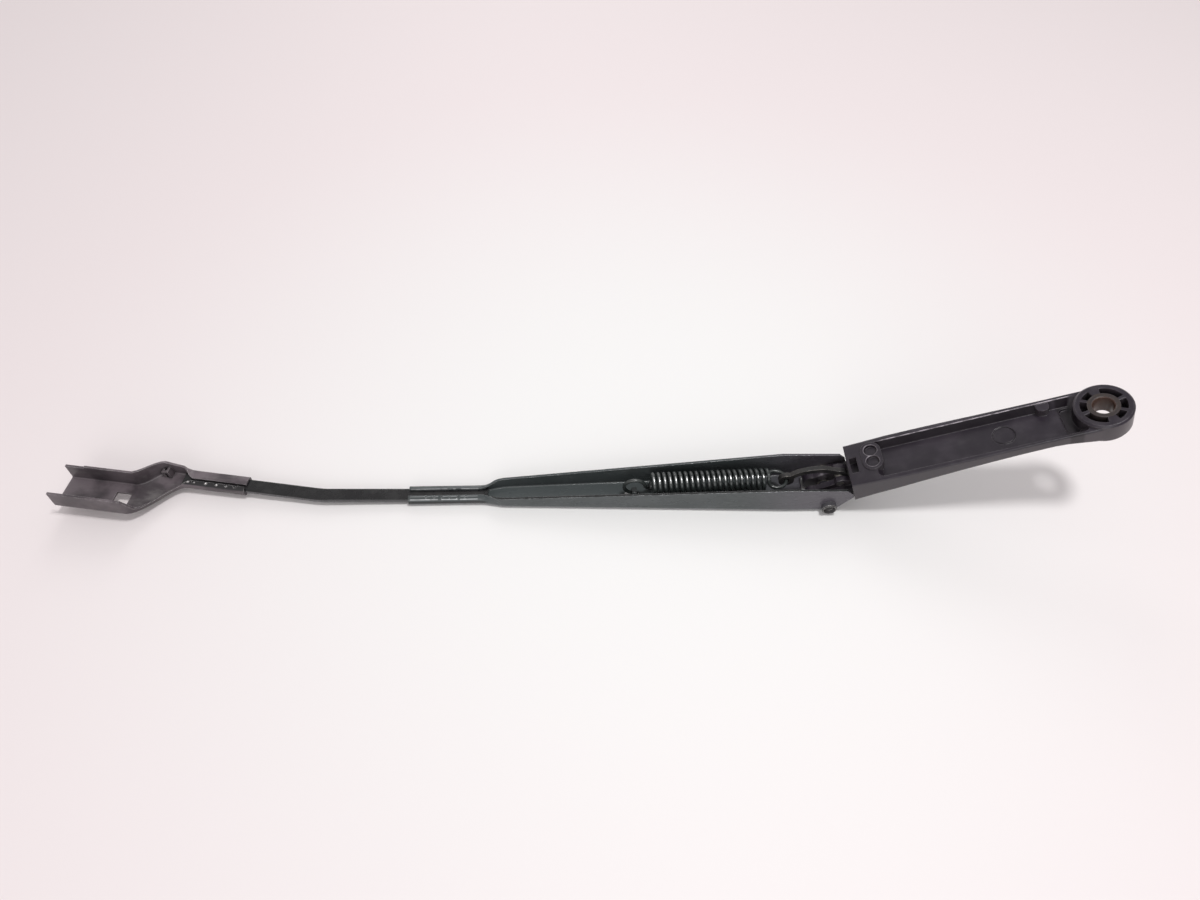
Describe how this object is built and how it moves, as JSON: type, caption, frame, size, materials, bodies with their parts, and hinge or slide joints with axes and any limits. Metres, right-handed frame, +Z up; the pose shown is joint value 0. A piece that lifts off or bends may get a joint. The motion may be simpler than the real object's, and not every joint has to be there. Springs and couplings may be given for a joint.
{
  "type": "windscreen wiper arm",
  "caption": "Windscreen wiper arm lying underside up: die-cast head with spindle boss, spring-loaded pressed steel channel, flat cranked rod and an offset open holder for the blade.",
  "frame": {"origin": "middle of the straight part of the spindle bore in the head's boss", "axes": "+X along the arm from the blade holder towards the boss, +Y across the arm, away from the viewer of the picture, +Z up, out of the arm's underside; the channel lies flat"},
  "size_m": [0.551, 0.0338, 0.0746],
  "materials": {
    "mounting_head": "satin black paint over a die casting, rubbed bright at the edges",
    "spring_pin": "dull steel, lightly tarnished",
    "pivot_bush_near": "off-white bearing plastic",
    "pivot_bush_far": "off-white bearing plastic",
    "pivot_pin": "black coated rivet with a bright worn rim",
    "channel": "semi-gloss black powder coat over pressed steel",
    "rod": "semi-gloss black paint over steel",
    "blade_holder": "matt worn black paint over pressed steel",
    "spring_link": "blackened steel, rubbed bright on its edges",
    "tension_spring": "phosphated spring steel, dark grey-green"
  },
  "bodies": {
    "head": {"mounting_head": "mounting_head", "spring_pin": "spring_pin", "pivot_bush_near": "pivot_bush_near", "pivot_bush_far": "pivot_bush_far"},
    "arm": {"channel": "channel", "rod": "rod", "blade_holder": "blade_holder", "pivot_pin": "pivot_pin"},
    "link": {"spring_link": "spring_link"},
    "spring": {"tension_spring": "tension_spring"}
  },
  "joints": [
    {"name": "arm_fold", "type": "hinge", "parent": "head", "child": "arm", "pos_m": [-0.12607, 0, -0.0577], "axis": [0, -1, 0], "range_deg": [0, 72], "stiffness_Nm_per_rad": 0.4, "springref_deg": -57.3},
    {"name": "link_swing", "type": "hinge", "parent": "head", "child": "link", "pos_m": [-0.12077, 0, -0.0471], "axis": [0, -1, 0], "range_deg": [0, 58]},
    {"name": "spring_stretch", "type": "slide", "parent": "arm", "child": "spring", "axis": [0.7956, 0, -0.6058], "range_m": [0, 0.0086], "deforming": ["tension_spring"]}
  ],
  "couplings": [
    {"joint": "link_swing", "follows": "arm_fold", "ratio": 0.789},
    {"joint": "spring_stretch", "follows": "arm_fold", "m_per_rad": 0.0067}
  ]
}
